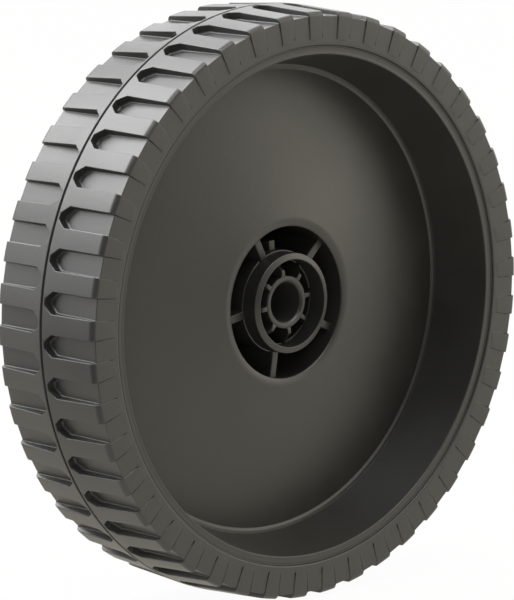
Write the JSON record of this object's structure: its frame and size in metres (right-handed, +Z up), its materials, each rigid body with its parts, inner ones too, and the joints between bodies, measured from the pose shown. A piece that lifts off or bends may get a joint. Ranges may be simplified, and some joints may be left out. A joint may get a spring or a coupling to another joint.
{
  "type": "lawn mower wheel",
  "caption": "Moulded lawn mower wheel: block-tread tyre on a waisted rim, deep dish with a coned web, ribbed hub cup and a plain axle bore.",
  "frame": {"origin": "the wheel's centre: on the axle line, in the middle plane of the tyre", "axes": "the axle runs along Y and the wheel spins about +Y; the outer, dished face with the open hub cup looks to -Y; +Z is up"},
  "size_m": [0.2, 0.047, 0.2],
  "materials": {
    "body_plastic": "fine moulded grain, satin, charcoal grey",
    "tyre_compound": "matt moulded tread compound, charcoal grey"
  },
  "bodies": {
    "root": {"wheel_body": "body_plastic", "tyre": "tyre_compound"}
  },
  "joints": []
}
